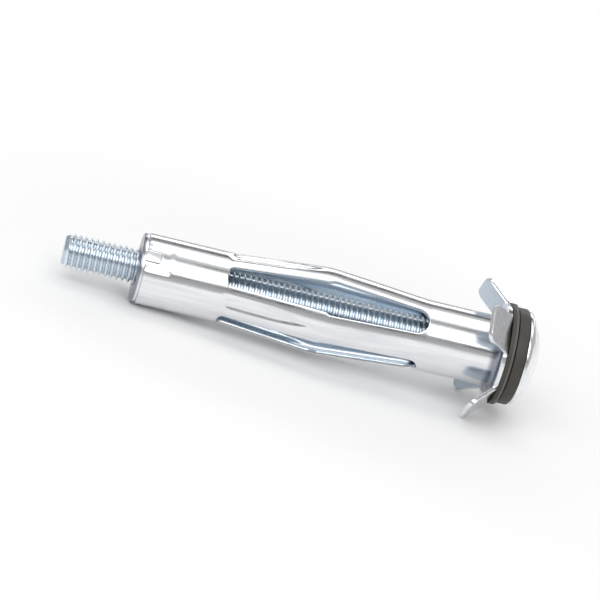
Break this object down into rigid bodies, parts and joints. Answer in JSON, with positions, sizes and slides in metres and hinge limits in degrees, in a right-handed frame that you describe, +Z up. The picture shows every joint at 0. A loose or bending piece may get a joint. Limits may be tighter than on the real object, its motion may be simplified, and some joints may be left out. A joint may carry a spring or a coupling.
{
  "type": "hollow wall anchor",
  "caption": "Slotted sheet-metal sleeve with a tabbed flange and a pressed-in nut, drawn on a spacer ring by a long domed-head screw; its legs fold out behind a hollow wall.",
  "frame": {"origin": "centre of the base of the bounding box, on the surface the anchor lies on", "axes": "+X along the anchor towards its head, which is raised 4.5 degrees because the anchor lies on two flange tabs and the far end of its sleeve; +Z up"},
  "size_m": [0.0678, 0.0176, 0.0175],
  "materials": {
    "zinc_sheet": "bright zinc plating on drawn sheet",
    "zinc_nut": "bright zinc plating on turned steel",
    "dark_ring": "satin near-black moulding",
    "zinc_screw": "bright zinc plating on cold-formed steel"
  },
  "bodies": {
    "anchor": {"sleeve": "zinc_sheet", "nut": "zinc_nut"},
    "ring": {"spacer_ring": "dark_ring"},
    "screw": {"screw": "zinc_screw"}
  },
  "joints": [
    {"name": "screw_travel", "type": "slide", "parent": "anchor", "child": "ring", "axis": [0.997, 0, 0.0778], "range_m": [0, 0.0158]},
    {"name": "screw_turn", "type": "hinge", "parent": "ring", "child": "screw", "pos_m": [0.02839, 0, 0.00897], "axis": [0.997, 0, 0.0778], "range_deg": [0, 7112]}
  ],
  "couplings": [
    {"joint": "screw_turn", "follows": "screw_travel", "rad_per_m": 7854}
  ]
}
